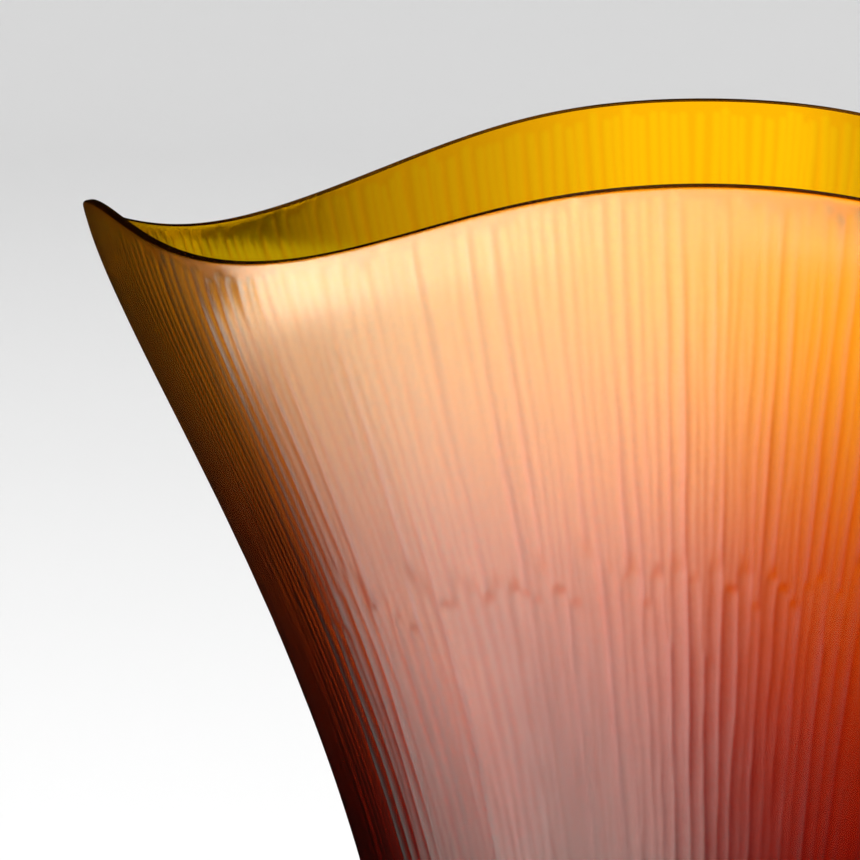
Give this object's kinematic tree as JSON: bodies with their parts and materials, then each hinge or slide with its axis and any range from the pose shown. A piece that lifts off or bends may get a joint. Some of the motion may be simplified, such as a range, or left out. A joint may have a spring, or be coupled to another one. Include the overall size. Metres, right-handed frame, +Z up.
{
  "type": "vase",
  "caption": "Flared glass vase with a wavy four-pointed lip: amber lining, ruby overlay and fluted satin casing, fused on a solid ground foot.",
  "frame": {"origin": "centre of the ground foot ring, on the surface that the vase stands on", "axes": "+Z up along the vase's axis; the lip's low side points lie on +X and -X, its front and back crests on -Y and +Y"},
  "size_m": [0.3202, 0.3186, 0.3555],
  "materials": {
    "amber_glass": "clear saturated amber, fire polished and glossy",
    "ruby_glass": "clear deep ruby, fading to orange where it feathers out",
    "satin_casing_glass": "wheel cut all over in narrow upright flutes and left satin",
    "dark_foot_glass": "very dark ruby, satin side, ground flat and polished underneath",
    "clear_glass": "clear, ground out and polished"
  },
  "bodies": {
    "root": {"amber_lining": "amber_glass", "ruby_overlay": "ruby_glass", "cut_casing": "satin_casing_glass", "foot_bit": "dark_foot_glass", "pontil_seal": "clear_glass"}
  },
  "joints": []
}
